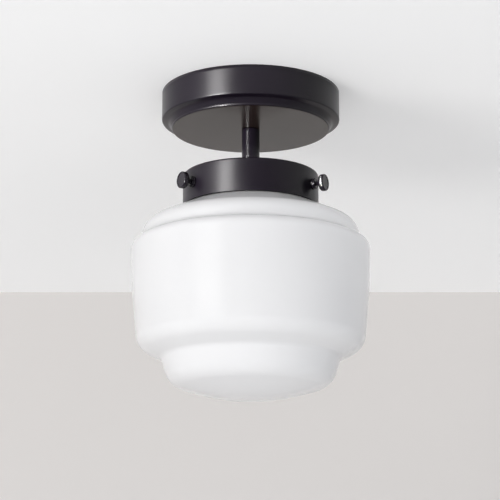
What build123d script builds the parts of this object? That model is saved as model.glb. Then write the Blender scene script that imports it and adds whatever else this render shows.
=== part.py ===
# A schoolhouse semi flush ceiling light: a stepped canopy on a ceiling strap, a short stem,
# a shallow glass holder with three thumbscrews, and a stepped opal shade around one bulb.
#
# Lengths are in millimetres. The origin is on the ceiling plane at the middle of the canopy,
# +Z points up into the ceiling box, and the whole light hangs below z = 0.

import os
from math import cos, radians, sin, tan

from build123d import *

# ---- driving dimensions -----------------------------------------------------------------

# canopy: a pressed steel pan with one step, its top edge on the ceiling
canopy_diameter = 140.0
canopy_drum_height = 23.0
canopy_step_inset = 6.8
canopy_step_height = 6.6
canopy_wall = 1.2
canopy_inner_bend = 0.5

# ceiling strap, and the screws that hold it to the ceiling box
box_hole_spacing = 88.9
small_box_hole_spacing = 69.85
strap_width = 19.0
strap_corner = 4.75
strap_thickness = 2.0
strap_end_margin = 5.2
strap_drop = 6.0
strap_web_length = 44.0
strap_joggle_length = 6.0
strap_bend = 1.0
box_screw_diameter = 4.16
box_screw_reach = 17.0
box_screw_head = 7.8
ground_screw_diameter = 4.8
ground_screw_head = 8.4
ground_screw_place = 15.0
pan_head_height = 2.6
pan_head_rounding = 1.3
driver_slot_width = 1.3
driver_slot_depth = 1.0

# threaded tubes (nipples), their hex nuts and the toothed lock washer
nipple_diameter = 9.7
nipple_bore = 7.0
nipple_grip = 9.0
nipple_tail = 1.8
nut_across_flats = 14.0
nut_height = 3.0
washer_diameter = 19.0
washer_thickness = 0.8
washer_teeth = 12
washer_notch = 2.2

# stem
stem_diameter = 14.0
stem_length = 38.0
stem_wire_bore = 8.0
stem_chamfer = 0.6

# glass holder, called the fitter
fitter_diameter = 106.0
fitter_height = 26.0
fitter_wall = 1.2
fitter_inner_bend = 0.4

# three thumbscrews, with riveted threaded bosses and soft swivelling tips
thumbscrew_count = 3
first_thumbscrew_angle = 93.8
thumbscrew_diameter = 4.0
thumbscrew_head = 12.7
thumbscrew_head_height = 3.7
thumbscrew_head_offset = 7.2
thumbscrew_flutes = 30
thumbscrew_flute_width = 0.7
thumbscrew_chamfer = 0.5
thumbscrew_dish_depth = 0.4
thumbscrew_rim = 1.3
boss_diameter = 8.6
boss_height = 3.2
boss_chamfer = 0.5
boss_rivet_diameter = 6.4
tip_diameter = 3.0
tip_length = 1.6
tip_pin_diameter = 1.9
tip_pin_length = 3.0

# hat-shaped bracket that carries the lampholder
bracket_width = 13.0
bracket_thickness = 1.2
bracket_span = 27.0
bracket_height = 13.4
bracket_foot = 8.0
bracket_foot_margin = 1.5
bracket_corner = 3.25
bracket_screw_inset = 3.2
bracket_bend = 0.8
bracket_screw_diameter = 3.0
bracket_screw_head = 5.6
small_head_height = 1.9
small_head_rounding = 0.8

# lampholder: porcelain body, screw shell, centre contact and two terminal screws
socket_length = 38.0
socket_shoulder = 12.0
socket_floor = 6.0
socket_rim = 5.0
socket_rounding = 1.5
socket_mouth_rounding = 1.0
shell_wall = 0.5
shell_length = 26.0
shell_flange = 3.0
contact_width = 5.0
contact_thickness = 0.5
contact_reach = 8.0
contact_foot = 4.0
contact_tip = 3.0
contact_drop = 3.0
terminal_diameter = 3.5
terminal_head = 6.8
terminal_inset = 7.5
blind_hole_depth = 5.0

# bulb: a pear with a 26 mm screw base
bulb_diameter = 60.0
bulb_length = 107.0
bulb_base_diameter = 26.0
bulb_base_length = 22.0
bulb_base_wall = 0.4
bulb_glass = 0.9
bulb_neck_cover = 12.0
bulb_shoulder_angle = 35.0
bulb_neck_bend = 25.0
bulb_button_diameter = 9.5
bulb_button_height = 1.2
bulb_button_rounding = 0.9
bulb_insulator_diameter = 20.6
bulb_insulator_height = 4.2
bulb_insulator_seat = 1.2

# opal shade, from its lip downwards: the drum's outside width, how far each other edge lies
# inside the drum, and the height of each stretch of the outside
shade_glass = 3.5
shade_lip_height = 7.0
shade_lip_overhang = 3.0
shade_lip_rounding = 2.1
shade_drum_diameter = 185.7
shade_collar_inset = 8.25
shade_collar_flare = 1.0
shade_belly_inset = 1.25
shade_foot_inset = 5.6
shade_well_inset = 23.95
shade_well_taper = 6.3
shade_neck_height = 20.2
shade_dome_height = 16.4
shade_collar_height = 12.6
shade_ledge_height = 1.6
shade_drum_height = 37.8
shade_taper_height = 43.5
shade_foot_height = 8.7
shade_well_height = 19.8
shade_bottom_height = 11.3
shade_bottom_slope = 16.1
shade_neck_cove = 5.0
shade_dome_bend = 12.8
shade_crease = 1.2
shade_drum_bend = 7.0
shade_foot_bend = 15.9
shade_well_cove = 1.8
shade_well_bend = 18.7

# named clearances
thread_clearance = 0.05
loose_hole = 0.35
box_slot_clearance = 1.2
lip_clearance = 1.8
resting_gap = 0.3

# ---- places worked out from them --------------------------------------------------------

strap_web_top = -strap_drop
strap_web_bottom = strap_web_top - strap_thickness
canopy_bottom = -(canopy_drum_height + canopy_step_height)
fitter_top = canopy_bottom - stem_length
fitter_ceiling = fitter_top - fitter_wall
fitter_rim = fitter_top - fitter_height
thumbscrew_level = fitter_top - fitter_height / 2
washer_bottom = fitter_ceiling - washer_thickness
bracket_web_bottom = washer_bottom - bracket_thickness
lower_nut_bottom = bracket_web_bottom - nut_height
socket_top = washer_bottom - bracket_height
socket_mouth = socket_top - socket_length
socket_ceiling = socket_top - socket_floor
bulb_top = socket_ceiling - contact_drop - contact_thickness - resting_gap

canopy_radius = canopy_diameter / 2
fitter_radius = fitter_diameter / 2
nipple_radius = nipple_diameter / 2
tapped_radius = nipple_radius + thread_clearance
shade_lip_radius = fitter_radius - fitter_wall - lip_clearance
shade_neck_radius = shade_lip_radius - shade_lip_overhang
shade_top = thumbscrew_level + tip_diameter / 2 + resting_gap + shade_lip_height
tip_end = shade_neck_radius + resting_gap
thumbscrew_end = tip_end + tip_length
thumbscrew_head_base = fitter_radius + thumbscrew_head_offset
socket_radius = bracket_span / 2 + bracket_foot + bracket_foot_margin
bracket_screw_place = bracket_span / 2 + bracket_foot - bracket_screw_inset
terminal_place = socket_radius - terminal_inset
shell_inner_radius = bulb_base_diameter / 2 + resting_gap
shell_outer_radius = shell_inner_radius + shell_wall

thumbscrew_angles = [
    first_thumbscrew_angle + 360 / thumbscrew_count * step for step in range(thumbscrew_count)
]

os.makedirs("parts", exist_ok=True)


def save(part, name):
    part.label = name
    export_step(part, f"parts/{name}.step")


def upright(x, y, z):
    """A plane through this point with its own x along +X and its own y along +Z."""
    return Plane(origin=(x, y, z), x_dir=(1, 0, 0), z_dir=(0, -1, 0))


def outward(angle, radius, height):
    """A plane at this radius and height, its normal pointing straight out from the axis."""
    direction = (cos(radians(angle)), sin(radians(angle)), 0)
    origin = (radius * direction[0], radius * direction[1], height)
    return Plane(origin=origin, x_dir=(0, 0, 1), z_dir=direction)


def widest_bend(before, corner, after, share_before, share_after):
    """The bend radius that takes up no more than these shares of the two lines at a corner."""
    first = Vector(*corner) - Vector(*before)
    second = Vector(*after) - Vector(*corner)
    room = min(share_before * first.length, share_after * second.length)
    return room / tan(radians(first.get_angle(second) / 2))


# ---- ceiling strap ----------------------------------------------------------------------

slot_width = box_screw_diameter + 2 * box_slot_clearance
slot_middle = (box_hole_spacing + small_box_hole_spacing) / 4
slot_run = (box_hole_spacing - small_box_hole_spacing) / 2
strap_half = box_hole_spacing / 2 + slot_width / 2 + strap_end_margin
web_half = strap_web_length / 2
joggle_end = web_half + strap_joggle_length
outer_bend = strap_bend + strap_thickness

with BuildPart() as ceiling_strap:
    with BuildSketch(Plane.XZ):
        with BuildLine():
            FilletPolyline(
                (-strap_half, -strap_thickness),
                (-joggle_end, -strap_thickness),
                (-web_half, strap_web_bottom),
                (web_half, strap_web_bottom),
                (joggle_end, -strap_thickness),
                (strap_half, -strap_thickness),
                radius=[strap_bend, outer_bend, outer_bend, strap_bend],
            )
            offset(amount=strap_thickness, side=Side.LEFT)
        make_face()
    extrude(amount=strap_width / 2, both=True)
    upright_edges = ceiling_strap.edges().filter_by(Axis.Z).group_by(Axis.X)
    fillet(upright_edges[0] + upright_edges[-1], strap_corner)
    with BuildSketch(Plane.XY):
        with Locations((-slot_middle, 0), (slot_middle, 0)):
            SlotCenterToCenter(slot_run, slot_width)
    extrude(amount=-strap_thickness, mode=Mode.SUBTRACT)
    with BuildSketch(Plane.XY.offset(strap_web_top)):
        Circle(tapped_radius)
        with Locations((ground_screw_place, 0)):
            Circle(ground_screw_diameter / 2 + thread_clearance)
    extrude(amount=-strap_thickness, mode=Mode.SUBTRACT)
save(ceiling_strap.part, "ceiling_strap")

# two pan head screws up into the ceiling box, their heads under the strap's ends
with BuildPart() as box_screws:
    for side in (-1, 1):
        x = side * box_hole_spacing / 2
        with BuildSketch(upright(x, 0, -strap_thickness)):
            with BuildLine():
                FilletPolyline(
                    (0, strap_thickness + box_screw_reach),
                    (box_screw_diameter / 2, strap_thickness + box_screw_reach),
                    (box_screw_diameter / 2, 0),
                    (box_screw_head / 2, 0),
                    (box_screw_head / 2, -pan_head_height),
                    (0, -pan_head_height),
                    radius=[0, 0, 0, 0, pan_head_rounding, 0],
                    close=True,
                )
            make_face()
        revolve(axis=Axis((x, 0, 0), (0, 0, 1)))
    with BuildSketch(Plane.XY.offset(-strap_thickness - pan_head_height)):
        with Locations((-box_hole_spacing / 2, 0), (box_hole_spacing / 2, 0)):
            Rectangle(driver_slot_width, box_screw_head)
    extrude(amount=driver_slot_depth, mode=Mode.SUBTRACT)
save(box_screws.part, "box_screws")

with BuildPart() as ground_screw:
    with BuildSketch(upright(ground_screw_place, 0, strap_web_bottom)):
        with BuildLine():
            FilletPolyline(
                (0, strap_thickness * 2),
                (ground_screw_diameter / 2, strap_thickness * 2),
                (ground_screw_diameter / 2, 0),
                (ground_screw_head / 2, 0),
                (ground_screw_head / 2, -pan_head_height),
                (0, -pan_head_height),
                radius=[0, 0, 0, 0, pan_head_rounding, 0],
                close=True,
            )
        make_face()
    revolve(axis=Axis((ground_screw_place, 0, 0), (0, 0, 1)))
    with BuildSketch(Plane.XY.offset(strap_web_bottom - pan_head_height)):
        with Locations((ground_screw_place, 0)):
            Rectangle(ground_screw_head, driver_slot_width)
    extrude(amount=driver_slot_depth, mode=Mode.SUBTRACT)
save(ground_screw.part, "ground_screw")

# ---- upper nipple and its two lock nuts -------------------------------------------------

upper_nipple_top = strap_web_top + nut_height + nipple_tail
upper_nipple_bottom = canopy_bottom - nipple_grip

with BuildPart() as upper_nipple:
    with BuildSketch(Plane.XY.offset(upper_nipple_bottom)):
        Circle(nipple_radius)
        Circle(nipple_bore / 2, mode=Mode.SUBTRACT)
    extrude(amount=upper_nipple_top - upper_nipple_bottom)
save(upper_nipple.part, "upper_nipple")

with BuildPart() as strap_nuts:
    for nut_bottom in (strap_web_top, strap_web_bottom - nut_height):
        with BuildSketch(Plane.XY.offset(nut_bottom)):
            RegularPolygon(nut_across_flats / 2, 6, major_radius=False)
            Circle(tapped_radius, mode=Mode.SUBTRACT)
        extrude(amount=nut_height)
save(strap_nuts.part, "strap_nuts")

# ---- canopy -----------------------------------------------------------------------------

step_radius = canopy_radius - canopy_step_inset
canopy_hole_radius = nipple_radius + loose_hole
canopy_outer_bend = canopy_inner_bend + canopy_wall

with BuildPart() as canopy:
    with BuildSketch(Plane.XZ):
        with BuildLine():
            FilletPolyline(
                (canopy_hole_radius, canopy_bottom),
                (step_radius, canopy_bottom),
                (step_radius, -canopy_drum_height),
                (canopy_radius, -canopy_drum_height),
                (canopy_radius, 0),
                radius=[canopy_outer_bend, canopy_inner_bend, canopy_outer_bend],
            )
            offset(amount=canopy_wall, side=Side.LEFT)
        make_face()
    revolve(axis=Axis.Z)
save(canopy.part, "canopy")

# ---- stem -------------------------------------------------------------------------------

with BuildPart() as stem:
    with BuildSketch(Plane.XY.offset(fitter_top)):
        Circle(stem_diameter / 2)
    extrude(amount=stem_length)
    chamfer(stem.edges().filter_by(GeomType.CIRCLE), stem_chamfer)
    with BuildSketch(Plane.XY.offset(fitter_top)):
        Circle(stem_wire_bore / 2)
    extrude(amount=stem_length, mode=Mode.SUBTRACT)
    tapped_depth = nipple_grip + loose_hole
    for tapped_bottom in (fitter_top, canopy_bottom - tapped_depth):
        with BuildSketch(Plane.XY.offset(tapped_bottom)):
            Circle(tapped_radius)
        extrude(amount=tapped_depth, mode=Mode.SUBTRACT)
save(stem.part, "stem")

# ---- fitter, with its riveted bosses ----------------------------------------------------

fitter_outer_bend = fitter_inner_bend + fitter_wall
boss_rivet_hole = boss_rivet_diameter / 2 + thread_clearance

with BuildPart() as fitter:
    with BuildSketch(Plane.XZ):
        with BuildLine():
            FilletPolyline(
                (fitter_radius, fitter_rim),
                (fitter_radius, fitter_top),
                (nipple_radius + loose_hole, fitter_top),
                radius=[fitter_outer_bend],
            )
            offset(amount=fitter_wall, side=Side.LEFT)
        make_face()
    revolve(axis=Axis.Z)
    for angle in thumbscrew_angles:
        with BuildSketch(outward(angle, fitter_radius - 2 * fitter_wall, thumbscrew_level)):
            Circle(boss_rivet_hole)
        extrude(amount=3 * fitter_wall, mode=Mode.SUBTRACT)
save(fitter.part, "fitter")


def outside_fitter(edge):
    middle = edge.arc_center
    return Vector(middle.X, middle.Y).length > fitter_radius


# each boss is a collar against the wall with a hollow rivet through it
with BuildPart() as fitter_bosses:
    for angle in thumbscrew_angles:
        with BuildSketch(outward(angle, fitter_radius - 2 * fitter_wall, thumbscrew_level)):
            Circle(boss_diameter / 2)
        extrude(amount=2 * fitter_wall + boss_height)
    collar_rims = fitter_bosses.edges().filter_by(GeomType.CIRCLE).filter_by(outside_fitter)
    chamfer(collar_rims, boss_chamfer)
    with BuildSketch(Plane.XY.offset(fitter_rim)):
        Circle(fitter_radius)
    extrude(amount=fitter_height, mode=Mode.SUBTRACT)
    for angle in thumbscrew_angles:
        with BuildSketch(outward(angle, fitter_radius - fitter_wall, thumbscrew_level)):
            Circle(boss_rivet_diameter / 2)
        extrude(amount=fitter_wall + boss_height / 2)
    for angle in thumbscrew_angles:
        with BuildSketch(outward(angle, fitter_radius - 2 * fitter_wall, thumbscrew_level)):
            Circle(thumbscrew_diameter / 2 + thread_clearance)
        extrude(amount=3 * fitter_wall + boss_height, mode=Mode.SUBTRACT)
save(fitter_bosses.part, "fitter_bosses")

# ---- lower nipple, lock washer and nut --------------------------------------------------

lower_nipple_top = fitter_top + nipple_grip
lower_nipple_bottom = lower_nut_bottom - nipple_tail

with BuildPart() as lower_nipple:
    with BuildSketch(Plane.XY.offset(lower_nipple_bottom)):
        Circle(nipple_radius)
        Circle(nipple_bore / 2, mode=Mode.SUBTRACT)
    extrude(amount=lower_nipple_top - lower_nipple_bottom)
save(lower_nipple.part, "lower_nipple")

with BuildPart() as lock_washer:
    with BuildSketch(Plane.XY.offset(washer_bottom)):
        Circle(washer_diameter / 2)
        Circle(nipple_radius + loose_hole, mode=Mode.SUBTRACT)
        with PolarLocations(washer_diameter / 2, washer_teeth):
            Rectangle(washer_notch, washer_notch, mode=Mode.SUBTRACT)
    extrude(amount=washer_thickness)
save(lock_washer.part, "lock_washer")

with BuildPart() as fitter_nut:
    with BuildSketch(Plane.XY.offset(lower_nut_bottom)):
        RegularPolygon(nut_across_flats / 2, 6, major_radius=False)
        Circle(tapped_radius, mode=Mode.SUBTRACT)
    extrude(amount=nut_height)
save(fitter_nut.part, "fitter_nut")

# ---- lampholder bracket -----------------------------------------------------------------

bracket_half = bracket_span / 2
bracket_outer_bend = bracket_bend + bracket_thickness
foot_end = bracket_half + bracket_foot

with BuildPart() as socket_bracket:
    with BuildSketch(Plane.XZ):
        with BuildLine():
            FilletPolyline(
                (-foot_end, socket_top),
                (-bracket_half, socket_top),
                (-bracket_half, bracket_web_bottom),
                (bracket_half, bracket_web_bottom),
                (bracket_half, socket_top),
                (foot_end, socket_top),
                radius=[bracket_outer_bend, bracket_bend, bracket_bend, bracket_outer_bend],
            )
            offset(amount=bracket_thickness, side=Side.LEFT)
        make_face()
    extrude(amount=bracket_width / 2, both=True)
    foot_corners = socket_bracket.edges().filter_by(Axis.Z).group_by(Axis.X)
    fillet(foot_corners[0] + foot_corners[-1], bracket_corner)
    with BuildSketch(Plane.XY.offset(washer_bottom)):
        Circle(nipple_radius + loose_hole)
    extrude(amount=-bracket_thickness, mode=Mode.SUBTRACT)
    with BuildSketch(Plane.XY.offset(socket_top)):
        with Locations((-bracket_screw_place, 0), (bracket_screw_place, 0)):
            Circle(bracket_screw_diameter / 2 + loose_hole)
    extrude(amount=bracket_thickness, mode=Mode.SUBTRACT)
save(socket_bracket.part, "socket_bracket")

with BuildPart() as bracket_screws:
    with BuildSketch(Plane.XY.offset(socket_top - blind_hole_depth + loose_hole)):
        with Locations((-bracket_screw_place, 0), (bracket_screw_place, 0)):
            Circle(bracket_screw_diameter / 2)
    extrude(amount=blind_hole_depth - loose_hole + bracket_thickness)
    with BuildSketch(Plane.XY.offset(socket_top + bracket_thickness)):
        with Locations((-bracket_screw_place, 0), (bracket_screw_place, 0)):
            Circle(bracket_screw_head / 2)
    extrude(amount=small_head_height)
    fillet(bracket_screws.edges().filter_by(GeomType.CIRCLE).group_by(Axis.Z)[-1], small_head_rounding)
    with BuildSketch(Plane.XY.offset(socket_top + bracket_thickness + small_head_height)):
        with Locations((-bracket_screw_place, 0), (bracket_screw_place, 0)):
            Rectangle(driver_slot_width, bracket_screw_head)
    extrude(amount=-driver_slot_depth, mode=Mode.SUBTRACT)
save(bracket_screws.part, "bracket_screws")

# ---- lampholder -------------------------------------------------------------------------

mouth_radius = shell_outer_radius + socket_rim

with BuildPart() as socket_body:
    with BuildSketch(Plane.XZ):
        with BuildLine():
            FilletPolyline(
                (0, socket_top),
                (socket_radius, socket_top),
                (socket_radius, socket_top - socket_shoulder),
                (mouth_radius, socket_mouth),
                (shell_outer_radius, socket_mouth),
                (shell_outer_radius, socket_ceiling),
                (0, socket_ceiling),
                radius=[0] + [socket_rounding] * 3 + [socket_mouth_rounding, 0, 0],
                close=True,
            )
        make_face()
    revolve(axis=Axis.Z)
    with BuildSketch(Plane.XY.offset(socket_top)):
        with Locations((-bracket_screw_place, 0), (bracket_screw_place, 0)):
            Circle(bracket_screw_diameter / 2 + thread_clearance)
        with Locations((0, -terminal_place), (0, terminal_place)):
            Circle(terminal_diameter / 2 + thread_clearance)
    extrude(amount=-blind_hole_depth, mode=Mode.SUBTRACT)
save(socket_body.part, "socket_body")

with BuildPart() as screw_shell:
    with BuildSketch(Plane.XZ):
        with BuildLine():
            Polyline(
                (shell_outer_radius - shell_flange, socket_ceiling),
                (shell_outer_radius, socket_ceiling),
                (shell_outer_radius, socket_ceiling - shell_length),
            )
            offset(amount=shell_wall, side=Side.RIGHT)
        make_face()
    revolve(axis=Axis.Z)
save(screw_shell.part, "screw_shell")

# a sprung brass strip: a flat foot on the porcelain, then a tongue down to the middle
with BuildPart() as centre_contact:
    with BuildSketch(Plane.XZ):
        with BuildLine():
            Polyline(
                (contact_reach, socket_ceiling),
                (contact_reach - contact_foot, socket_ceiling),
                (contact_tip, socket_ceiling - contact_drop),
                (-contact_tip, socket_ceiling - contact_drop),
            )
            offset(amount=contact_thickness, side=Side.LEFT)
        make_face()
    extrude(amount=contact_width / 2, both=True)
save(centre_contact.part, "centre_contact")

with BuildPart() as terminal_screws:
    with BuildSketch(Plane.XY.offset(socket_top - blind_hole_depth + loose_hole)):
        with Locations((0, -terminal_place), (0, terminal_place)):
            Circle(terminal_diameter / 2)
    extrude(amount=blind_hole_depth - loose_hole)
    with BuildSketch(Plane.XY.offset(socket_top)):
        with Locations((0, -terminal_place), (0, terminal_place)):
            Circle(terminal_head / 2)
    extrude(amount=small_head_height)
    with BuildSketch(Plane.XY.offset(socket_top + small_head_height)):
        with Locations((0, -terminal_place), (0, terminal_place)):
            Rectangle(driver_slot_width, terminal_head)
    extrude(amount=-driver_slot_depth, mode=Mode.SUBTRACT)
save(terminal_screws.part, "terminal_screws")

# ---- bulb -------------------------------------------------------------------------------

button_bottom = bulb_top - bulb_button_height
insulator_bottom = button_bottom - bulb_insulator_height
base_top = insulator_bottom
base_bottom = base_top - bulb_base_length
bulb_radius = bulb_diameter / 2
bulb_centre = bulb_top - bulb_length + bulb_radius
bulb_neck_radius = bulb_base_diameter / 2 - bulb_base_wall - thread_clearance
throat_radius = bulb_insulator_diameter / 2 + thread_clearance

with BuildPart() as bulb_contact:
    with BuildSketch(Plane.XY.offset(button_bottom)):
        Circle(bulb_button_diameter / 2)
    extrude(amount=bulb_button_height)
    fillet(bulb_contact.edges().filter_by(GeomType.CIRCLE).sort_by(Axis.Z)[-1], bulb_button_rounding)
save(bulb_contact.part, "bulb_contact")

with BuildPart() as bulb_insulator:
    with BuildSketch(Plane.XZ):
        with BuildLine():
            Polyline(
                (0, button_bottom),
                (bulb_button_diameter / 2, button_bottom),
                (bulb_insulator_diameter / 2, insulator_bottom),
                (bulb_insulator_diameter / 2, insulator_bottom - bulb_insulator_seat),
                (0, insulator_bottom - bulb_insulator_seat),
                close=True,
            )
        make_face()
    revolve(axis=Axis.Z)
save(bulb_insulator.part, "bulb_insulator")

collar_foot = base_top - bulb_insulator_seat
collar_slope = bulb_base_diameter / 2 - throat_radius - bulb_base_wall

with BuildPart() as bulb_base:
    with BuildSketch(Plane.XZ):
        with BuildLine():
            Polyline(
                (throat_radius + bulb_base_wall, base_top),
                (throat_radius + bulb_base_wall, collar_foot),
                (bulb_base_diameter / 2, collar_foot - collar_slope),
                (bulb_base_diameter / 2, base_bottom),
            )
            offset(amount=bulb_base_wall, side=Side.RIGHT)
        make_face()
    revolve(axis=Axis.Z)
save(bulb_base.part, "bulb_base")

shoulder_point = (
    bulb_radius * cos(radians(bulb_shoulder_angle)),
    bulb_centre + bulb_radius * sin(radians(bulb_shoulder_angle)),
)
neck_run = (shoulder_point[0] - bulb_neck_radius) / tan(radians(bulb_shoulder_angle))

with BuildPart() as bulb_globe:
    with BuildSketch(Plane.XZ):
        with BuildLine():
            CenterArc((0, bulb_centre), bulb_radius, -90, 90 + bulb_shoulder_angle)
            FilletPolyline(
                shoulder_point,
                (bulb_neck_radius, shoulder_point[1] + neck_run),
                (bulb_neck_radius, base_bottom + bulb_neck_cover),
                radius=bulb_neck_bend,
            )
            offset(amount=bulb_glass, side=Side.LEFT)
        make_face()
    revolve(axis=Axis.Z)
save(bulb_globe.part, "bulb_globe")

# ---- thumbscrews and their tips ---------------------------------------------------------

for number, angle in enumerate(thumbscrew_angles, start=1):
    with BuildPart() as thumbscrew:
        with BuildSketch(outward(angle, thumbscrew_end, thumbscrew_level)):
            Circle(thumbscrew_diameter / 2)
        extrude(amount=thumbscrew_head_base - thumbscrew_end)
        head_base = outward(angle, thumbscrew_head_base, thumbscrew_level)
        with BuildSketch(head_base):
            Circle(thumbscrew_head / 2)
        extrude(amount=thumbscrew_head_height)
        rounds = thumbscrew.edges().filter_by(GeomType.CIRCLE)
        chamfer(rounds.filter_by(lambda edge: edge.radius > boss_diameter / 2), thumbscrew_chamfer)
        with BuildSketch(head_base):
            with PolarLocations(thumbscrew_head / 2, thumbscrew_flutes):
                RegularPolygon(thumbscrew_flute_width / 2, 4)
        extrude(amount=thumbscrew_head_height, mode=Mode.SUBTRACT)
        with BuildSketch(head_base.offset(thumbscrew_head_height)):
            Circle(thumbscrew_head / 2 - thumbscrew_rim)
        extrude(amount=-thumbscrew_dish_depth, mode=Mode.SUBTRACT)
        with BuildSketch(outward(angle, thumbscrew_end, thumbscrew_level)):
            Circle(tip_pin_diameter / 2 + thread_clearance)
        extrude(amount=tip_pin_length + loose_hole, mode=Mode.SUBTRACT)
    save(thumbscrew.part, f"thumbscrew_{number}")

    with BuildPart() as screw_tip:
        with BuildSketch(outward(angle, tip_end, thumbscrew_level)):
            Circle(tip_diameter / 2)
        extrude(amount=tip_length)
        with BuildSketch(outward(angle, thumbscrew_end, thumbscrew_level)):
            Circle(tip_pin_diameter / 2)
        extrude(amount=tip_pin_length)
    save(screw_tip.part, f"screw_tip_{number}")

# ---- opal shade -------------------------------------------------------------------------

drum_radius = shade_drum_diameter / 2
collar_radius = drum_radius - shade_collar_inset - shade_collar_flare
crease_radius = drum_radius - shade_collar_inset
belly_radius = drum_radius - shade_belly_inset
foot_radius = drum_radius - shade_foot_inset
well_radius = drum_radius - shade_well_inset
well_foot_radius = well_radius - shade_well_taper
bottom_radius = well_foot_radius - shade_bottom_height / tan(radians(shade_bottom_slope))

dome_start = shade_top - shade_neck_height
dome_end = dome_start - shade_dome_height
collar_end = dome_end - shade_collar_height
drum_start = collar_end - shade_ledge_height
belly_level = drum_start - shade_drum_height
foot_level = belly_level - shade_taper_height
well_start = foot_level - shade_foot_height
well_end = well_start - shade_well_height
shade_bottom = well_end - shade_bottom_height

neck_root = (shade_neck_radius, dome_start)
collar_top = (collar_radius, dome_end)
crease = (crease_radius, collar_end)
drum_top = (drum_radius, drum_start)
belly = (belly_radius, belly_level)
drum_foot = (foot_radius, foot_level)
well_top = (well_radius, well_start)
well_foot = (well_foot_radius, well_end)
bottom_edge = (bottom_radius, shade_bottom)
bottom_middle = (0, shade_bottom)

with BuildPart() as shade:
    with BuildSketch(Plane.XZ):
        with BuildLine():
            FilletPolyline(
                (shade_neck_radius, shade_top),
                neck_root,
                collar_top,
                crease,
                drum_top,
                belly,
                drum_foot,
                well_top,
                well_foot,
                bottom_edge,
                bottom_middle,
                radius=[
                    shade_neck_cove,
                    shade_dome_bend,
                    shade_crease,
                    shade_drum_bend,
                    widest_bend(drum_top, belly, drum_foot, 0.7, 0.6),
                    shade_foot_bend,
                    shade_well_cove,
                    shade_well_bend,
                    widest_bend(well_foot, bottom_edge, bottom_middle, 0.6, 0.95),
                ],
            )
            offset(amount=shade_glass, side=Side.RIGHT)
        make_face()
    revolve(axis=Axis.Z)
    lip_middle = shade_lip_height / 2
    with BuildSketch(upright(shade_neck_radius, 0, shade_top - lip_middle)):
        with Locations((shade_lip_overhang / 2 - shade_glass / 2, 0)):
            lip_width = shade_lip_overhang + shade_glass
            RectangleRounded(lip_width, shade_lip_height, shade_lip_rounding)
    revolve(axis=Axis.Z)
save(shade.part, "shade")
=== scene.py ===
import math

import bmesh
import bpy
import numpy as np
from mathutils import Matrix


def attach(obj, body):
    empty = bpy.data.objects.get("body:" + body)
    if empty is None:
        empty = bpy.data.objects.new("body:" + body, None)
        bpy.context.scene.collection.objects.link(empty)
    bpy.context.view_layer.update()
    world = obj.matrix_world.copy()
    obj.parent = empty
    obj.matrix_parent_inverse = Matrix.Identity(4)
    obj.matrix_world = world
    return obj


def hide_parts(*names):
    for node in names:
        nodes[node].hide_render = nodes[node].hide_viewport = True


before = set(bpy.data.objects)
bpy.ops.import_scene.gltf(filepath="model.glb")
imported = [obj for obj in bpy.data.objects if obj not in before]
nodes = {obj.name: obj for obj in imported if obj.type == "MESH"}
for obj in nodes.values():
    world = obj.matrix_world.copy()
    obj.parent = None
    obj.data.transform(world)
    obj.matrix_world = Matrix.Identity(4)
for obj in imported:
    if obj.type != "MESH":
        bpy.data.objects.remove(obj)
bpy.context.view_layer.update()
mm = 0.001
print("frame loaded:", len(nodes), "nodes")


# shapes: profiles in millimetres, meshes in metres


def cutStraight(start, end, reach):
    # the points between two ends of a straight, no further apart than reach, ends left out
    count = max(1, math.ceil(np.linalg.norm(end - start) / reach))
    share = np.linspace(0, 1, count + 1)[1:-1, None]
    return start + share * (end - start)


def roundedLine(corners, radii, arcStep=7.0, reach=3.0):
    # each inner corner becomes an arc tangent to both its straights: the arc starts
    # radius / tan(half the corner's angle) before the corner and its middle lies
    # radius / sin(half the angle) along the bisector
    points = [np.array(p, float) for p in corners]
    last = points[0]
    parts = [last[None, :]]
    for before, corner, after, radius in zip(points, points[1:], points[2:], radii):
        back = (before - corner) / np.linalg.norm(before - corner)
        ahead = (after - corner) / np.linalg.norm(after - corner)
        half = math.acos(np.clip(back @ ahead, -1, 1)) / 2
        middle = corner + (back + ahead) / np.linalg.norm(back + ahead) * radius / math.sin(half)
        start = corner + back * radius / math.tan(half)
        turn = math.pi - 2 * half
        side = 1 if back[0] * ahead[1] - back[1] * ahead[0] < 0 else -1
        steps = max(2, math.ceil(math.degrees(turn) / arcStep))
        first = math.atan2(start[1] - middle[1], start[0] - middle[0])
        angles = first + side * turn * np.linspace(0, 1, steps + 1)
        arc = middle + radius * np.stack([np.cos(angles), np.sin(angles)], -1)
        parts += [cutStraight(last, arc[0], reach), arc]
        last = arc[-1]
    parts += [cutStraight(last, points[-1], reach), points[-1][None, :]]
    return np.concatenate(parts)


def beside(line, distance):
    # every point moved square to the line, to its left where distance is positive
    along = np.gradient(line, axis=0)
    along /= np.linalg.norm(along, axis=1)[:, None]
    return line + distance * np.stack([-along[:, 1], along[:, 0]], -1)


def spun(line, around, ripple=None):
    # the line's (radius, height) points turned about the axis: x = r cos a, y = r sin a, z = h;
    # ripple(radius, height, angle) may change the radius point by point
    angle = np.arange(around) / around * 2 * math.pi
    radius, height, angle = np.broadcast_arrays(line[:, :1], line[:, 1:], angle)
    if ripple:
        radius = ripple(radius, height, angle)
    return np.stack([radius * np.cos(angle), radius * np.sin(angle), height], -1)


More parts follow.
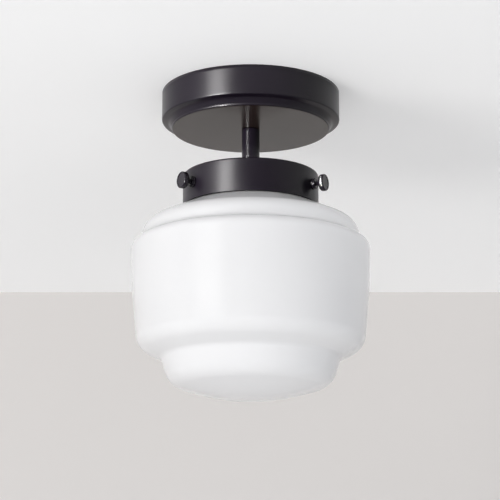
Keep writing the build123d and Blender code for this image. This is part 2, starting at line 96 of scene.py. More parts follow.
def spunMesh(grid, closed):
    # quads between neighbouring rows; a closed outline joins its last row to its first,
    # an open one starts and ends on the axis, where its end rows are single points
    around = grid.shape[1]
    body = grid if closed else grid[1:-1]
    count = len(body)
    r, c = np.meshgrid(np.arange(count if closed else count - 1), np.arange(around), indexing="ij")
    r2, c2 = (r + 1) % count, (c + 1) % around
    quads = np.stack([r * around + c, r * around + c2, r2 * around + c2, r2 * around + c], -1)
    faces = quads.reshape(-1, 4).tolist()
    verts = body.reshape(-1, 3)
    if not closed:
        ends = np.array([grid[0].mean(0), grid[-1].mean(0)])
        ring = np.arange(around)
        nextRing = (ring + 1) % around
        firstPole, lastPole = len(verts), len(verts) + 1
        base = (count - 1) * around
        faces += np.stack([ring, nextRing, ring * 0 + firstPole], -1).tolist()
        faces += np.stack([base + nextRing, base + ring, ring * 0 + lastPole], -1).tolist()
        verts = np.concatenate([verts, ends])
    return verts, faces


def joined(parts):
    # several (points, faces) meshes as one
    allVerts, allFaces, shift = [], [], 0
    for verts, faces in parts:
        allVerts.append(verts)
        allFaces += [[i + shift for i in face] for face in faces]
        shift += len(verts)
    return np.concatenate(allVerts), allFaces


def screwedOut(points, angle, height):
    # a shape spun about +Z laid down so that +Z points straight out from the light's axis
    a = math.radians(angle)
    out = np.array([math.cos(a), math.sin(a), 0])
    side = np.array([-math.sin(a), math.cos(a), 0])
    up = np.array([0, 0, 1])
    return points[..., :1] * side + points[..., 1:2] * up + points[..., 2:] * out + height * up


def linkedObject(name, verts, faces):
    # a mesh object with its normals pointing out, linked to the scene
    mesh = bpy.data.meshes.new(name)
    mesh.from_pydata(np.asarray(verts).tolist(), [], faces)
    work = bmesh.new()
    work.from_mesh(mesh)
    bmesh.ops.recalc_face_normals(work, faces=work.faces)
    work.to_mesh(mesh)
    work.free()
    made = bpy.data.objects.new(name, mesh)
    bpy.context.scene.collection.objects.link(made)
    return made


def drilled(shape, tools):
    # the first shape less the volume of the second
    body, tool = linkedObject("drillBody", *shape), linkedObject("drillTool", *tools)
    cut = body.modifiers.new("cut", "BOOLEAN")
    cut.object, cut.operation, cut.solver = tool, "DIFFERENCE", "EXACT"
    bpy.context.view_layer.update()
    result = body.evaluated_get(bpy.context.evaluated_depsgraph_get()).data
    verts = np.empty(3 * len(result.vertices), np.float32)
    result.vertices.foreach_get("co", verts)
    verts = verts.astype(float).reshape(-1, 3)
    faces = [list(f.vertices) for f in result.polygons]
    for used in (body, tool):
        bpy.data.meshes.remove(used.data)
    return verts, faces


def addPiece(name, shape, body, node, material):
    verts, faces = shape
    piece = linkedObject(name, np.asarray(verts) * mm, faces)
    piece.data.shade_smooth()
    piece.data.materials.append(material)
    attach(piece, body)
    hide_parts(node)
    return piece


def finishNode(node, material):
    data = nodes[node].data
    data.materials.clear()
    data.materials.append(material)


# materials: every pattern reads Object coordinates, in metres


def addNode(tree, kind, settings=None, sockets=None):
    # sockets takes plain values or other nodes' outputs
    node = tree.nodes.new(kind)
    for key, value in (settings or {}).items():
        setattr(node, key, value)
    for key, value in (sockets or {}).items():
        if isinstance(value, bpy.types.NodeSocket):
            tree.links.new(value, node.inputs[key])
        else:
            node.inputs[key].default_value = value
    return node


def startMaterial(name, **sockets):
    material = bpy.data.materials.new(name)
    material.use_nodes = True
    tree = material.node_tree
    tree.nodes.clear()
    named = {key.replace("_", " "): value for key, value in sockets.items()}
    shader = addNode(tree, "ShaderNodeBsdfPrincipled", sockets=named)
    addNode(tree, "ShaderNodeOutputMaterial", sockets={"Surface": shader.outputs[0]})
    place = addNode(tree, "ShaderNodeTexCoord").outputs["Object"]
    return material, tree, shader, place


def stretched(tree, place, scale):
    return addNode(tree, "ShaderNodeMapping", sockets={"Vector": place, "Scale": scale}).outputs[0]


def cloud(tree, place, scale, detail, rough=0.5):
    sockets = {"Vector": place, "Scale": scale, "Detail": detail, "Roughness": rough}
    return addNode(tree, "ShaderNodeTexNoise", sockets=sockets).outputs["Fac"]


toneSpan = (0.3, 0.7)


def ramp(tree, value, low, high):
    # two tones over toneSpan, a part of a noise's range
    if not isinstance(low, tuple):
        low, high = (low,) * 3, (high,) * 3
    node = addNode(tree, "ShaderNodeValToRGB", sockets={"Fac": value})
    for element, position, tone in zip(node.color_ramp.elements, toneSpan, (low, high)):
        element.position, element.color = position, (*tone, 1)
    return node.outputs["Color"]


def bump(tree, shader, height, strength, depth):
    sockets = {"Height": height, "Strength": strength, "Distance": depth}
    node = addNode(tree, "ShaderNodeBump", sockets=sockets)
    tree.links.new(node.outputs[0], shader.inputs["Normal"])


def maths(tree, operation, first, second, **settings):
    settings["operation"] = operation
    return addNode(tree, "ShaderNodeMath", settings, {0: first, 1: second}).outputs[0]


def added(tree, first, second, share):
    # first plus a share of second
    return maths(tree, "ADD", first, maths(tree, "MULTIPLY", second, share))


def blackLacquer(name, look):
    # spun metal under satin black: turning lines round the axis, faint peel, roughness in patches; a look
    # with a plate also gets a painted brown reflection on the plate
    material, tree, shader, place = startMaterial(name, Specular_IOR_Level=look["gloss"])
    patches = cloud(tree, place, look["patchScale"], detail=4)
    lines = cloud(tree, stretched(tree, place, look["lineStretch"]), 1.0, detail=2)
    peel = cloud(tree, place, look["peelScale"], detail=2)
    tone = ramp(tree, patches, look["dark"], look["light"])
    rough = added(tree, ramp(tree, patches, look["smooth"], look["rough"]), lines, look["lineRough"])
    if "plate" in look:
        # painted reflection: what lies further below the ceiling than plateBelow, the plate, is tinted
        # browner for the warm wall it mirrors, and is also a little smoother
        height = addNode(tree, "ShaderNodeSeparateXYZ", sockets={0: place}).outputs["Z"]
        below = maths(tree, "LESS_THAN", height, -look["plateBelow"])
        mix = addNode(tree, "ShaderNodeMix", {"data_type": "RGBA"})
        mix.inputs["B"].default_value = (*look["plate"], 1)
        tree.links.new(below, mix.inputs["Factor"])
        tree.links.new(tone, mix.inputs["A"])
        tone = mix.outputs["Result"]
        rough = added(tree, rough, below, -look["plateSmooth"])
    tree.links.new(tone, shader.inputs["Base Color"])
    tree.links.new(rough, shader.inputs["Roughness"])
    bump(tree, shader, added(tree, peel, lines, look["lineShare"]), look["bumpStrength"], look["bumpDepth"])
    return material


def opalGlass(name, look):
    # cased white glass: nearly even white, glossy, with the slow waves of a blown wall
    material, tree, shader, place = startMaterial(
        name, IOR=look["ior"], Specular_IOR_Level=look["gloss"], Subsurface_Weight=look["depthWeight"],
        Subsurface_Scale=look["depth"], Subsurface_Radius=(1.0, 1.0, 1.0))
    patches = cloud(tree, place, look["patchScale"], detail=3)
    polish = cloud(tree, place, look["polishScale"], detail=3)
    waves = cloud(tree, stretched(tree, place, look["waveStretch"]), look["waveScale"], detail=1)
    tree.links.new(ramp(tree, patches, look["shade"], look["white"]), shader.inputs["Base Color"])
    tree.links.new(ramp(tree, polish, look["smooth"], look["rough"]), shader.inputs["Roughness"])
    bump(tree, shader, waves, look["waveStrength"], look["waveDepth"])
    return material


metalGrain = {"patchScale": 90, "breakUp": 0.6, "lineStretch": (60, 60, 2500), "lineRough": 0.1,
              "bumpStrength": 0.15, "bumpDepth": 0.00003}


def plainMetal(name, look):
    # bright metal: drawn or rolled lines one way, tone and polish in patches
    look = {**metalGrain, **look}
    material, tree, shader, place = startMaterial(name, Metallic=1.0)
    patches = cloud(tree, place, look["patchScale"], detail=4, rough=look["breakUp"])
    lines = cloud(tree, stretched(tree, place, look["lineStretch"]), 1.0, detail=2)
    rough = added(tree, ramp(tree, patches, look["smooth"], look["rough"]), lines, look["lineRough"])
    tree.links.new(ramp(tree, patches, look["dark"], look["light"]), shader.inputs["Base Color"])
    tree.links.new(rough, shader.inputs["Roughness"])
    bump(tree, shader, lines, look["bumpStrength"], look["bumpDepth"])
    return material


skinGrain = {"ior": 1.5, "patchScale": 70, "grainScale": 1500, "bumpStrength": 0.1, "bumpDepth": 0.00003}


def mouldedSkin(name, look):
    # porcelain, nylon, enamel, frosted glass: tone in soft patches, fine grain
    look = {**skinGrain, **look}
    material, tree, shader, place = startMaterial(name, IOR=look["ior"])
    patches = cloud(tree, place, look["patchScale"], detail=4)
    grain = cloud(tree, place, look["grainScale"], detail=2)
    tree.links.new(ramp(tree, patches, look["dark"], look["light"]), shader.inputs["Base Color"])
    tree.links.new(ramp(tree, patches, look["smooth"], look["rough"]), shader.inputs["Roughness"])
    bump(tree, shader, grain, look["bumpStrength"], look["bumpDepth"])
    return material


# canopy: a pressed pan with a raised plate and a hollow moulding round it, open to the ceiling
canopySize = {"radius": 70.0, "drum": 23.0, "edge": 1.2, "plate": 62.2, "plateAt": 29.6, "plateEdge": 1.0,
              "plateTall": 1.6, "footBend": 0.25, "hollow": (64.9, 24.3), "hollowBend": 4.0, "wall": 1.2,
              "wallOnSlope": 0.6, "innerSoften": 0.4, "hole": 5.2, "around": 256}
canopyLook = {"gloss": 0.26, "dark": (0.0024, 0.0015, 0.0032), "light": (0.0034, 0.0023, 0.0045),
              "patchScale": 14, "smooth": 0.24, "rough": 0.30, "lineStretch": (25, 25, 5200),
              "lineRough": 0.06, "peelScale": 900, "lineShare": 1.4, "bumpStrength": 0.14,
              "bumpDepth": 0.00004}
# the plate colour is a painted reflection of the warm wall below, not the lacquer's own tone; plateBelow says
# where the plate starts and plateSmooth how much smoother it is
plateReflectionAndPolish = {"plate": (0.011, 0.0062, 0.005), "plateBelow": 0.02957, "plateSmooth": 0.08}
canopyBlack = blackLacquer("canopyBlack", {**canopyLook, **plateReflectionAndPolish})


def canopyShape(s):
    # the pan's outside and, moved in by the wall, its inside, spun about the axis; the hollow runs
    # from the plate's low upright edge up to the bottom edge of the drum
    def pan(shift, soften):
        slopeShift = shift * s["wallOnSlope"]
        plate, drum = s["plate"] - shift, s["radius"] - shift
        floor, foot = shift - s["plateAt"], s["plateTall"] - s["plateAt"] + slopeShift
        hollow = (s["hollow"][0] - slopeShift, shift - s["hollow"][1])
        return roundedLine(
            [(s["hole"], floor), (plate, floor), (plate, foot), hollow, (drum, shift - s["drum"]), (drum, 0)],
            [s["plateEdge"] * soften, s["footBend"], s["hollowBend"], s["edge"] * soften])
    outline = np.concatenate([pan(0, 1), pan(s["wall"], s["innerSoften"])[::-1]])
    return spunMesh(spun(outline, s["around"]), True)


addPiece("canopyPan", canopyShape(canopySize), "fixture", "canopy", canopyBlack)
print("canopy made")

# stem: a short tube, tapped at both ends
stemSize = {"radius": 7.0, "top": -29.6, "bottom": -67.6, "bore": 4.9, "boreInset": 0.1, "chamfer": 0.6,
            "edge": 0.12, "arcStep": 20, "around": 96}
stemLook = dict(canopyLook, smooth=0.16, rough=0.2, peelScale=1200, lineShare=4.0)
stemBlack = blackLacquer("stemBlack", stemLook)


def stemShape(s):
    # a tube's outline with a chamfer at both ends, then down its bore, spun about the axis
    r, c, bore, top, bottom = s["radius"], s["chamfer"], s["bore"], s["top"], s["bottom"]
    outline = roundedLine(
        [(bore, bottom), (r - c, bottom), (r, bottom + c), (r, top - c), (r - c, top), (bore, top)],
        [s["edge"]] * 4, s["arcStep"])
    inside = roundedLine([(bore, top - s["boreInset"]), (bore, bottom + s["boreInset"])], [])
    return spunMesh(spun(np.concatenate([outline, inside]), s["around"]), True)


addPiece("stemTube", stemShape(stemSize), "fixture", "stem", stemBlack)
print("stem made")

# fitter: the shallow cup that holds the glass, with a threaded boss behind each thumbscrew
screwAngles = [93.8, 213.8, 333.8]
screwLevel = -80.6
fitterSize = {"radius": 53.0, "top": -67.6, "rim": -93.6, "wall": 1.2, "bend": 1.6, "hole": 5.2,
              "screwHole": 3.22, "drillIn": 4.0, "drillOut": 3.0, "drillAround": 64, "reach": 1.6,
              "around": 256, "sharpFrom": 0.6}
fitterLook = dict(canopyLook, smooth=0.27, rough=0.34)
fitterBlack = blackLacquer("fitterBlack", fitterLook)


def fitterShape(s):
    # a cup's outside and, moved in by the wall, its inside, spun about the axis, less three drills
    outside = roundedLine(
        [(s["radius"], s["rim"]), (s["radius"], s["top"]), (s["hole"], s["top"])],
        [s["bend"]], reach=s["reach"])
    outline = np.concatenate([outside, beside(outside, s["wall"])[::-1]])
    whole = spunMesh(spun(outline, s["around"]), True)
    start, end = s["radius"] - s["drillIn"], s["radius"] + s["drillOut"]
    drill = np.array([(0, start), (s["screwHole"], start), (s["screwHole"], end), (0, end)])
    verts, faces = spunMesh(spun(drill, s["drillAround"]), False)
    return drilled(whole, joined([(screwedOut(verts, angle, screwLevel), faces) for angle in screwAngles]))


fitterCup = addPiece("fitterCup", fitterShape(fitterSize), "fixture", "fitter", fitterBlack)
fitterCup.data.set_sharp_from_angle(angle=fitterSize["sharpFrom"])

bossSize = {"radius": 4.3, "seat": 52.3, "face": 56.2, "bore": 2.05, "boreInset": 0.1, "inner": 50.6,
            "rivet": 3.2, "rivetEdge": 0.3, "seatBend": 0.1, "seatEdge": 0.2, "chamfer": 0.45,
            "groove": 0.35, "grooveShift": 0.4, "grooveEdge": 0.2, "grooveBend": 0.15, "arcStep": 15,
            "reach": 1.0, "around": 64}
screwLook = dict(canopyLook, gloss=0.4, smooth=0.1, rough=0.2, lineRough=0.04, peelScale=1800)
screwBlack = blackLacquer("screwBlack", screwLook)


def bossShape(s, angle):
    # a rivet through the cup's wall, then a flange with a groove round it, spun about the screw's axis
    r, bore, inner, seat, face = s["radius"], s["bore"], s["inner"], s["seat"], s["face"]
    groove, middle = s["groove"], (seat + face) / 2 + s["grooveShift"]
    outline = roundedLine(
        [(bore, inner), (s["rivet"], inner), (s["rivet"], seat), (r, seat), (r, middle - groove),
         (r - groove, middle), (r, middle + groove), (r, face), (bore, face)],
        [s["rivetEdge"], s["seatBend"], s["seatEdge"], s["grooveEdge"], s["grooveBend"],
         s["grooveEdge"], s["chamfer"]], s["arcStep"], s["reach"])
    inside = roundedLine(
        [(bore, face - s["boreInset"]), (bore, inner + s["boreInset"])], [], reach=s["reach"])
    verts, faces = spunMesh(spun(np.concatenate([outline, inside]), s["around"]), True)
    return screwedOut(verts, angle, screwLevel), faces


bosses = joined([bossShape(bossSize, angle) for angle in screwAngles])
addPiece("fitterBosses", bosses, "fixture", "fitter_bosses", screwBlack)
print("fitter made")

# thumbscrews: a threaded shank and a wide flat head with fine flutes round its rim
screwSize = {"end": 48.9, "shank": 2.0, "shankFrom": 0.02, "shankTo": 0.25, "headBase": 59.8, "head": 6.5,
             "headTall": 4.4, "neck": 0.2, "neckBend": 0.15, "backRound": 1.5, "chamfer": 0.8, "rim": 1.3,
             "rimSlope": 0.15, "rimBend": 0.12, "dish": 0.4, "arcStep": 15, "reach": 0.9, "pinBore": 1.0,
             "pinDepth": 3.35, "pinBend": 0.1, "pinArcStep": 45, "pinReach": 1.5, "pitch": 0.7,
             "threadDepth": 0.32, "threadPoints": 132, "plainEnd": 0.3, "boreMargin": 0.05,
             "headMargin": 0.01, "flutes": 30, "fluteDepth": 0.28, "fluteBand": 0.35, "pointsPerFlute": 5}


def screwShape(s, angle):
    # the pin's bore, the shank and the head to the middle of its dished face, spun about the screw's axis
    end, shank, base, head = s["end"], s["shank"], s["headBase"], s["head"]
    pinEnd, face, rim = end + s["pinDepth"], base + s["headTall"], head - s["rim"]
    bore = roundedLine(
        [(0, pinEnd), (s["pinBore"], pinEnd), (s["pinBore"], end)],
        [s["pinBend"]], s["pinArcStep"], s["pinReach"])
    shankHeights = np.linspace(end + s["shankFrom"], base - s["shankTo"], s["threadPoints"])
    shankLine = np.stack([np.full(s["threadPoints"], shank), shankHeights], -1)
    headLine = roundedLine(
        [(shank, base - s["neck"]), (shank, base), (head, base), (head, face), (rim, face),
         (rim - s["rimSlope"], face - s["dish"]), (0, face - s["dish"])],
        [s["neckBend"], s["backRound"], s["chamfer"], s["rimBend"], s["rimBend"]],
        s["arcStep"], s["reach"])
    line = np.concatenate([bore, shankLine, headLine])

    def ripple(radius, height, around):
        # shank: radius less a triangle wave of (height / pitch - turn); rim: less a rounded flute wave
        inThread = (height > end + s["plainEnd"]) & (height < base - s["plainEnd"])
        onShank = inThread & (radius > s["pinBore"] + s["boreMargin"])
        wave = np.abs(((height / s["pitch"] - around / (2 * math.pi)) % 1) * 2 - 1)
        onRim = np.clip((radius - (head - s["fluteBand"])) / s["fluteBand"], 0, 1)
        onRim = onRim * (height > base - s["headMargin"])
        flute = np.maximum(0, np.cos(around * s["flutes"])) ** 2
        return radius - onShank * s["threadDepth"] * wave - onRim * s["fluteDepth"] * flute

    verts, faces = spunMesh(spun(line, s["flutes"] * s["pointsPerFlute"], ripple), False)
    return screwedOut(verts, angle, screwLevel), faces


for number, angle in enumerate(screwAngles, 1):
    screw = f"thumbscrew_{number}"
    addPiece(f"screwHead{number}", screwShape(screwSize, angle), screw, screw, screwBlack)
print("thumbscrews made")

# shade: one blown piece of opal glass, its lip a bead that the thumbscrews hold
shadeSize = {"glass": 3.5, "lipRadius": 50.0, "lipTall": 7.0, "lipRound": 2.1, "lipArcStep": 12,
             "top": -71.8, "neck": 47.0, "arcStep": 4, "reach": 2.5, "around": 320,
             "corners": [(47.0, -92.0), (83.6, -108.4), (84.6, -121.0), (92.81, -122.6), (91.56, -160.4),
                         (87.25, -203.9), (68.9, -212.6), (62.6, -232.4), (23.4, -243.7)],
             "bends": [5.0, 12.8, 2.3, 7.0, 300.0, 14.5, 5.0, 16.5, 140.0]}
shadeLook = {"ior": 1.5, "gloss": 0.22, "shade": (0.80, 0.80, 0.808), "white": (0.83, 0.83, 0.835),
             "patchScale": 9, "polishScale": 60, "smooth": 0.12, "rough": 0.18, "waveScale": 22,
             "waveStretch": (1, 1, 0.6), "waveStrength": 0.2, "waveDepth": 0.0006, "depthWeight": 0.3,
             "depth": 0.006}
shadeWhite = opalGlass("shadeWhite", shadeLook)


def shadeShape(s):
    # the inside from its lowest point up, over the lip and down the outside, spun about the axis
    top, under = s["top"], s["top"] - s["lipTall"]
    corners = [(s["neck"], under), *s["corners"], (0, s["corners"][-1][1])]
    wall = roundedLine(corners, s["bends"], s["arcStep"], s["reach"])
    inside = beside(wall, -s["glass"])
    inside[-1, 0] = 0
    throat = s["neck"] - s["glass"]
    lip = roundedLine(
        [(throat, under), (throat, top), (s["lipRadius"], top), (s["lipRadius"], under), (s["neck"], under)],
        [s["lipRound"]] * 3, s["lipArcStep"], s["reach"])
    line = np.concatenate([inside[::-1], lip, wall[1:]])
    return spunMesh(spun(line, s["around"]), False)


addPiece("shadeGlass", shadeShape(shadeSize), "fixture", "shade", shadeWhite)
print("shade made")

# hidden fittings: what stands behind the canopy and inside the shade
zinc = plainMetal("zincPlate", {
    "dark": (0.5, 0.5, 0.49), "light": (0.68, 0.68, 0.66), "smooth": 0.25, "rough": 0.42,
    "lineStretch": (40, 2600, 2600)})
brass = plainMetal("turnedBrass", {
    "dark": (0.58, 0.42, 0.17), "light": (0.74, 0.56, 0.27), "smooth": 0.18, "rough": 0.34})
shellBrass = plainMetal("rolledBrass", {
    "dark": (0.62, 0.47, 0.22), "light": (0.78, 0.62, 0.33), "smooth": 0.16, "rough": 0.3,
    "lineStretch": (80, 80, 900)})
capAluminium = plainMetal("rolledAluminium", {
    "dark": (0.62, 0.62, 0.63), "light": (0.78, 0.78, 0.79), "smooth": 0.2, "rough": 0.34,
    "lineStretch": (80, 80, 900)})
solder = plainMetal("dullSolder", {
    "dark": (0.36, 0.36, 0.37), "light": (0.52, 0.52, 0.53), "smooth": 0.3, "rough": 0.5})
porcelain = mouldedSkin("glazedPorcelain", {
    "dark": (0.76, 0.74, 0.69), "light": (0.84, 0.82, 0.77), "smooth": 0.1, "rough": 0.22,
    "grainScale": 500})
nylon = mouldedSkin("naturalNylon", {
    "dark": (0.72, 0.7, 0.63), "light": (0.8, 0.78, 0.71), "smooth": 0.38, "rough": 0.5})
enamel = mouldedSkin("blackEnamel", {
    "dark": (0.012, 0.012, 0.02), "light": (0.03, 0.03, 0.045), "smooth": 0.06, "rough": 0.16})
groundGreen = mouldedSkin("groundGreen", {
    "dark": (0.02, 0.2, 0.07), "light": (0.04, 0.3, 0.1), "smooth": 0.25, "rough": 0.4})
frost = mouldedSkin("frostedGlass", {
    "dark": (0.83, 0.82, 0.79), "light": (0.88, 0.87, 0.84), "smooth": 0.32, "rough": 0.42,
    "grainScale": 2500})

for node in ("ceiling_strap", "box_screws", "lock_washer", "socket_bracket", "bracket_screws"):
    finishNode(node, zinc)
for node in ("upper_nipple", "strap_nuts", "lower_nipple", "fitter_nut", "terminal_screws"):
    finishNode(node, brass)
finishNode("centre_contact", shellBrass)
finishNode("ground_screw", groundGreen)
finishNode("socket_body", porcelain)
finishNode("bulb_contact", solder)
finishNode("bulb_insulator", enamel)
for number in (1, 2, 3):
    finishNode(f"screw_tip_{number}", nylon)

# screw shell and bulb cap: thin sheet with the same thread, so that one nests in the other
threadSize = {"pitch": 3.63, "depth": 0.7, "around": 96}


def rolledThread(radius, height, around):
    # a rounded thread pressed into thin sheet: the whole wall moves in and out along the helix
    wave = 0.5 - 0.5 * np.cos(2 * math.pi * height / threadSize["pitch"] - around)
    return radius - threadSize["depth"] * wave


def threadedSheet(outside, wall, threadShare):
    # threadShare(height) says how much of the thread the wall takes there, from 0 to 1
    def ripple(radius, height, around):
        return radius + threadShare(height) * (rolledThread(radius, height, around) - radius)

    outline = np.concatenate([outside, beside(outside, -wall)[::-1]])
    return spunMesh(spun(outline, threadSize["around"], ripple), True)


shellSize = {"radius": 13.8, "wall": 0.5, "top": -89.0, "bottom": -115.0, "flange": 3.0, "bend": 0.6,
             "plain": 1.5, "fade": 1.5, "arcStep": 15, "reach": 0.5}


def shellShape(s):
    # a flange, then a straight wall down, as thin sheet spun about the axis
    outside = roundedLine(
        [(s["radius"] - s["flange"], s["top"]), (s["radius"], s["top"]), (s["radius"], s["bottom"])],
        [s["bend"]], s["arcStep"], s["reach"])

    def threadShare(height):
        # the flange stays flat and the wall below it takes the thread
        return np.clip((s["top"] - s["plain"] - height) / s["fade"], 0, 1)

    return threadedSheet(outside, s["wall"], threadShare)


addPiece("screwShell", shellShape(shellSize), "fixture", "screw_shell", shellBrass)

capSize = {"radius": 13.0, "wall": 0.4, "throat": 10.75, "top": -98.2, "collar": 1.2, "bottom": -120.2,
           "collarBend": 0.4, "slopeBend": 1.0, "plain": 2.5, "fade": 1.5, "arcStep": 15, "reach": 0.45}


def capShape(s):
    # a collar, a shoulder at 45 degrees and a straight wall down, as thin sheet spun about the axis
    r, throat, foot = s["radius"], s["throat"], s["top"] - s["collar"]
    slope = r - throat
    outside = roundedLine(
        [(throat, s["top"]), (throat, foot), (r, foot - slope), (r, s["bottom"])],
        [s["collarBend"], s["slopeBend"]], s["arcStep"], s["reach"])

    def threadShare(height):
        # the thread grows down the shoulder and fades out above the plain end
        end = np.clip((height - s["bottom"] - s["plain"]) / s["fade"], 0, 1)
        return np.clip((foot - height) / slope, 0, 1) * end

    return threadedSheet(outside, s["wall"], threadShare)


addPiece("bulbCap", capShape(capSize), "bulb", "bulb_base", capAluminium)

globeSize = {"radius": 30.0, "middle": -169.8, "shoulder": 35.0, "neck": 12.55, "neckBend": 25.0,
             "neckTop": -108.2, "wall": 0.9, "arcStep": 4.0, "reach": 2.5, "around": 128}


def globeShape(s):
    # a ball below the shoulder angle, then its tangent, rounded into a straight neck
    angle = np.radians(np.arange(-90, s["shoulder"], s["arcStep"]))
    ball = np.stack([s["radius"] * np.cos(angle), s["middle"] + s["radius"] * np.sin(angle)], -1)
    ball[0, 0] = 0
    a = math.radians(s["shoulder"])
    tangent = (s["radius"] * math.cos(a), s["middle"] + s["radius"] * math.sin(a))
    bendTop = tangent[1] + (tangent[0] - s["neck"]) / math.tan(a)
    neck = roundedLine(
        [tangent, (s["neck"], bendTop), (s["neck"], s["neckTop"])], [s["neckBend"]], s["arcStep"], s["reach"])
    outside = np.concatenate([ball, neck])
    inside = beside(outside, s["wall"])
    inside[0, 0] = 0
    return spunMesh(spun(np.concatenate([outside, inside[::-1]]), s["around"]), False)


addPiece("bulbGlobe", globeShape(globeSize), "bulb", "bulb_globe", frost)
print("hidden fittings made")

# camera: fitted to the ellipses of the canopy, the fitter and the shade
cameraSetup = {"away": 1.29323, "below": 0.442886, "tilt": 13.722, "lens": 123.537, "sensor": 36.0,
               "shiftX": -0.0014, "clipEnd": 20}
camera = bpy.data.objects.new("camera", bpy.data.cameras.new("camera"))
camera.location = (0, -cameraSetup["away"], -cameraSetup["below"])
camera.rotation_euler = (math.radians(90 + cameraSetup["tilt"]), 0, 0)
camera.data.lens, camera.data.sensor_width = cameraSetup["lens"], cameraSetup["sensor"]
camera.data.shift_x = cameraSetup["shiftX"]
camera.data.clip_end = cameraSetup["clipEnd"]
bpy.context.scene.collection.objects.link(camera)
bpy.context.scene.camera = camera

# ceiling and wall: flat sheets
room = {"wallY": 0.735, "front": -0.24, "side": 1.6, "down": -1.7, "ceilingTone": (0.88, 0.88, 0.88),
        "ceilingLift": 0.18, "wallTone": (0.67, 0.648, 0.632), "wallLift": 0.06}
plaster = {"rough": 0.9, "gloss": 0.1, "patchScale": 1.5, "patchShare": 0.985, "grainScale": 400,
           "bumpStrength": 0.1, "bumpDepth": 0.0002}


def addSheet(name, corners, tone, lift):
    # a flat sheet seen only from its front, so that views from behind it stay open; it takes
    # shadows and is lifted towards white for the camera, for gloss and for glass, not as light
    mesh = bpy.data.meshes.new(name)
    mesh.from_pydata(corners, [], [(0, 1, 2, 3)])
    material, tree, shader, place = startMaterial(
        name, Roughness=plaster["rough"], Specular_IOR_Level=plaster["gloss"])
    patches = cloud(tree, place, plaster["patchScale"], detail=3)
    tones = ramp(tree, patches, tuple(c * plaster["patchShare"] for c in tone), tone)
    tree.links.new(tones, shader.inputs["Base Color"])
    grain = cloud(tree, place, plaster["grainScale"], detail=3)
    bump(tree, shader, grain, plaster["bumpStrength"], plaster["bumpDepth"])
    path = addNode(tree, "ShaderNodeLightPath").outputs
    seen = path["Is Camera Ray"]
    for ray in ("Is Glossy Ray", "Is Transmission Ray"):
        seen = added(tree, seen, path[ray], 1)
    shownLift = maths(tree, "MULTIPLY", seen, lift, use_clamp=True)
    glow = addNode(tree, "ShaderNodeEmission", sockets={"Color": tones, "Strength": shownLift}).outputs[0]
    lifted = addNode(tree, "ShaderNodeAddShader", sockets={0: shader.outputs[0], 1: glow}).outputs[0]
    behind = addNode(tree, "ShaderNodeNewGeometry").outputs["Backfacing"]
    clear = addNode(tree, "ShaderNodeBsdfTransparent").outputs[0]
    mix = addNode(tree, "ShaderNodeMixShader", sockets={0: behind, 1: lifted, 2: clear})
    out = next(n for n in tree.nodes if n.type == "OUTPUT_MATERIAL")
    tree.links.new(mix.outputs[0], out.inputs["Surface"])
    mesh.materials.append(material)
    sheet = bpy.data.objects.new(name, mesh)
    bpy.context.scene.collection.objects.link(sheet)
    sheet.visible_shadow = False  # it takes shadows but lets the window in over its front edge


x, y0, y1, z = room["side"], room["front"], room["wallY"], room["down"]
ceilingCorners = [(-x, y0, 0), (-x, y1, 0), (x, y1, 0), (x, y0, 0)]
wallCorners = [(-x, y1, z), (x, y1, z), (x, y1, 0), (-x, y1, 0)]
addSheet("ceilingSheet", ceilingCorners, room["ceilingTone"], room["ceilingLift"])
addSheet("wallSheet", wallCorners, room["wallTone"], room["wallLift"])

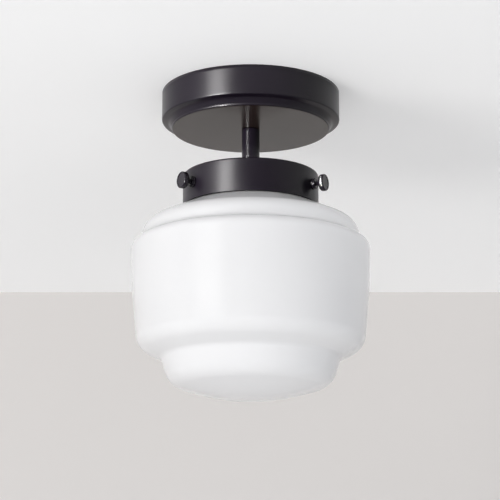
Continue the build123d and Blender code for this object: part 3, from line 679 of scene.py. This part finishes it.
# lamps: the window shows softly in the glass and, with the two metal lamps that light the black
# pieces alone, as a strong strip in them; the key and the fill are broad and don't show in gloss
lamps = {
    "window": {"place": (-0.95, -1.16, 0.13), "aim": (0, 0, 0.13), "size": (0.66, 0.95), "power": 5.3,
               "tone": (1.0, 0.985, 0.97), "inGloss": True, "metalOnly": False},
    "lowKey": {"place": (-1.10, -1.10, -1.35), "aim": (0, 0, -0.13), "size": (0.8, 0.7), "power": 10.3,
               "tone": (1.0, 0.985, 0.965), "inGloss": False, "metalOnly": False},
    "frontFill": {"place": (0.35, -1.95, -0.7), "aim": (0, 0, -0.15), "size": (1.6, 1.2), "power": 12.6,
                  "tone": (0.985, 0.99, 1.0), "inGloss": False, "metalOnly": False},
    "metalWindow": {"place": (-1.02, -1.10, 0.13), "aim": (0, 0, 0.13), "size": (0.52, 0.95), "power": 28.0,
                    "tone": (1.0, 0.985, 0.98), "inGloss": True, "metalOnly": True},
    "metalGlint": {"place": (-1.02, -1.10, -0.28), "aim": (0, 0, -0.28), "size": (0.56, 0.5), "power": 72.0,
                   "tone": (1.0, 0.985, 0.98), "inGloss": True, "metalOnly": True},
}

blackPieces = bpy.data.collections.new("blackPieces")
for name in ("canopyPan", "stemTube", "fitterCup", "fitterBosses", "screwHead1", "screwHead2", "screwHead3"):
    blackPieces.objects.link(bpy.data.objects[name])


def addLamp(name, setup):
    data = bpy.data.lights.new(name, "AREA")
    data.shape, (data.size, data.size_y) = "RECTANGLE", setup["size"]
    data.energy, data.color = setup["power"], setup["tone"]
    data.cycles.use_multiple_importance_sampling = False
    lamp = bpy.data.objects.new(name, data)
    lamp.location = setup["place"]
    lamp.visible_glossy = setup["inGloss"]
    way = np.array(setup["aim"], float) - np.array(setup["place"], float)
    lamp.rotation_euler = (math.acos(-way[2] / np.linalg.norm(way)), 0, math.atan2(-way[0], way[1]))
    if setup["metalOnly"]:
        lamp.light_linking.receiver_collection = blackPieces
    bpy.context.scene.collection.objects.link(lamp)


for name, setup in lamps.items():
    addLamp(name, setup)

# world: bands of tone by the height that a ray goes to, from straight down up to the horizon
skyTones = [(-0.75, (0.3, 0.3, 0.305)), (-0.45, (0.90, 0.91, 0.93)), (-0.12, (0.90, 0.91, 0.93)),
            (0.0, (0.2, 0.2, 0.21))]
world = bpy.data.worlds.new("studio")
bpy.context.scene.world = world
world.use_nodes = True
sky = world.node_tree
sky.nodes.clear()
way = addNode(sky, "ShaderNodeTexCoord").outputs["Generated"]
up = addNode(sky, "ShaderNodeSeparateXYZ", sockets={0: way}).outputs["Z"]
raised = maths(sky, "ADD", up, 1.0)  # a ramp starts at 0
bands = addNode(sky, "ShaderNodeValToRGB", sockets={"Fac": raised})
while len(bands.color_ramp.elements) < len(skyTones):
    bands.color_ramp.elements.new(0.5)
for element, (height, tone) in zip(bands.color_ramp.elements, skyTones):
    element.position, element.color = height + 1, (*tone, 1)
shine = addNode(sky, "ShaderNodeBackground", sockets={"Color": bands.outputs["Color"]})
addNode(sky, "ShaderNodeOutputWorld", sockets={"Surface": shine.outputs[0]})
bpy.context.scene.view_settings.view_transform = "Standard"
print("camera, room and light made")
